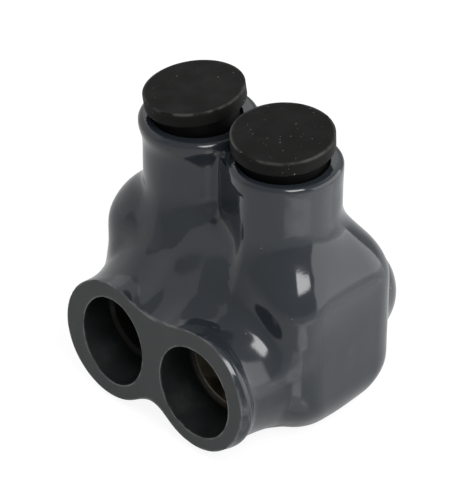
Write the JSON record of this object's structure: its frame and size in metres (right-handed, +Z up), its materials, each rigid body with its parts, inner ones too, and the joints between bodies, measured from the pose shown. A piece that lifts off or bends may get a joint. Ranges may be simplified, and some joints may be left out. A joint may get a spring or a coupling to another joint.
{
  "type": "insulated set screw cable connector",
  "caption": "Insulated splice connector: cable ports side by side in a dipped vinyl jacket, each clamped by a socket set screw in a capped tower.",
  "frame": {"origin": "on the resting face, midway between the two ports and at the middle of the block's depth", "axes": "+Z up along the screw towers, -Y out of the cable ports, +X across the ports"},
  "size_m": [0.0668, 0.0643, 0.0765],
  "materials": {
    "block_metal": "drilled, dull, coated with a film of joint compound",
    "vinyl": "glossy dipped vinyl, matt on the cut face round the ports",
    "screw_metal": "turned, satin",
    "cap_rubber": "matt, slightly dusty, paler on the flange's edge"
  },
  "bodies": {
    "housing": {"terminal_block": "block_metal", "insulating_jacket": "vinyl"},
    "left_screw": {"left_set_screw": "screw_metal"},
    "right_screw": {"right_set_screw": "screw_metal"},
    "left_cap": {"left_access_cap": "cap_rubber"},
    "right_cap": {"right_access_cap": "cap_rubber"}
  },
  "joints": [
    {"name": "left_screw_travel", "type": "slide", "parent": "housing", "child": "left_screw", "axis": [0, 0, -1], "range_m": [0, 0.017]},
    {"name": "right_screw_travel", "type": "slide", "parent": "housing", "child": "right_screw", "axis": [0, 0, -1], "range_m": [0, 0.017]},
    {"name": "left_cap_pull", "type": "slide", "parent": "housing", "child": "left_cap", "axis": [0, 0, 1], "range_m": [-0.0021, 0.015]},
    {"name": "right_cap_pull", "type": "slide", "parent": "housing", "child": "right_cap", "axis": [0, 0, 1], "range_m": [-0.0028, 0.015]}
  ]
}
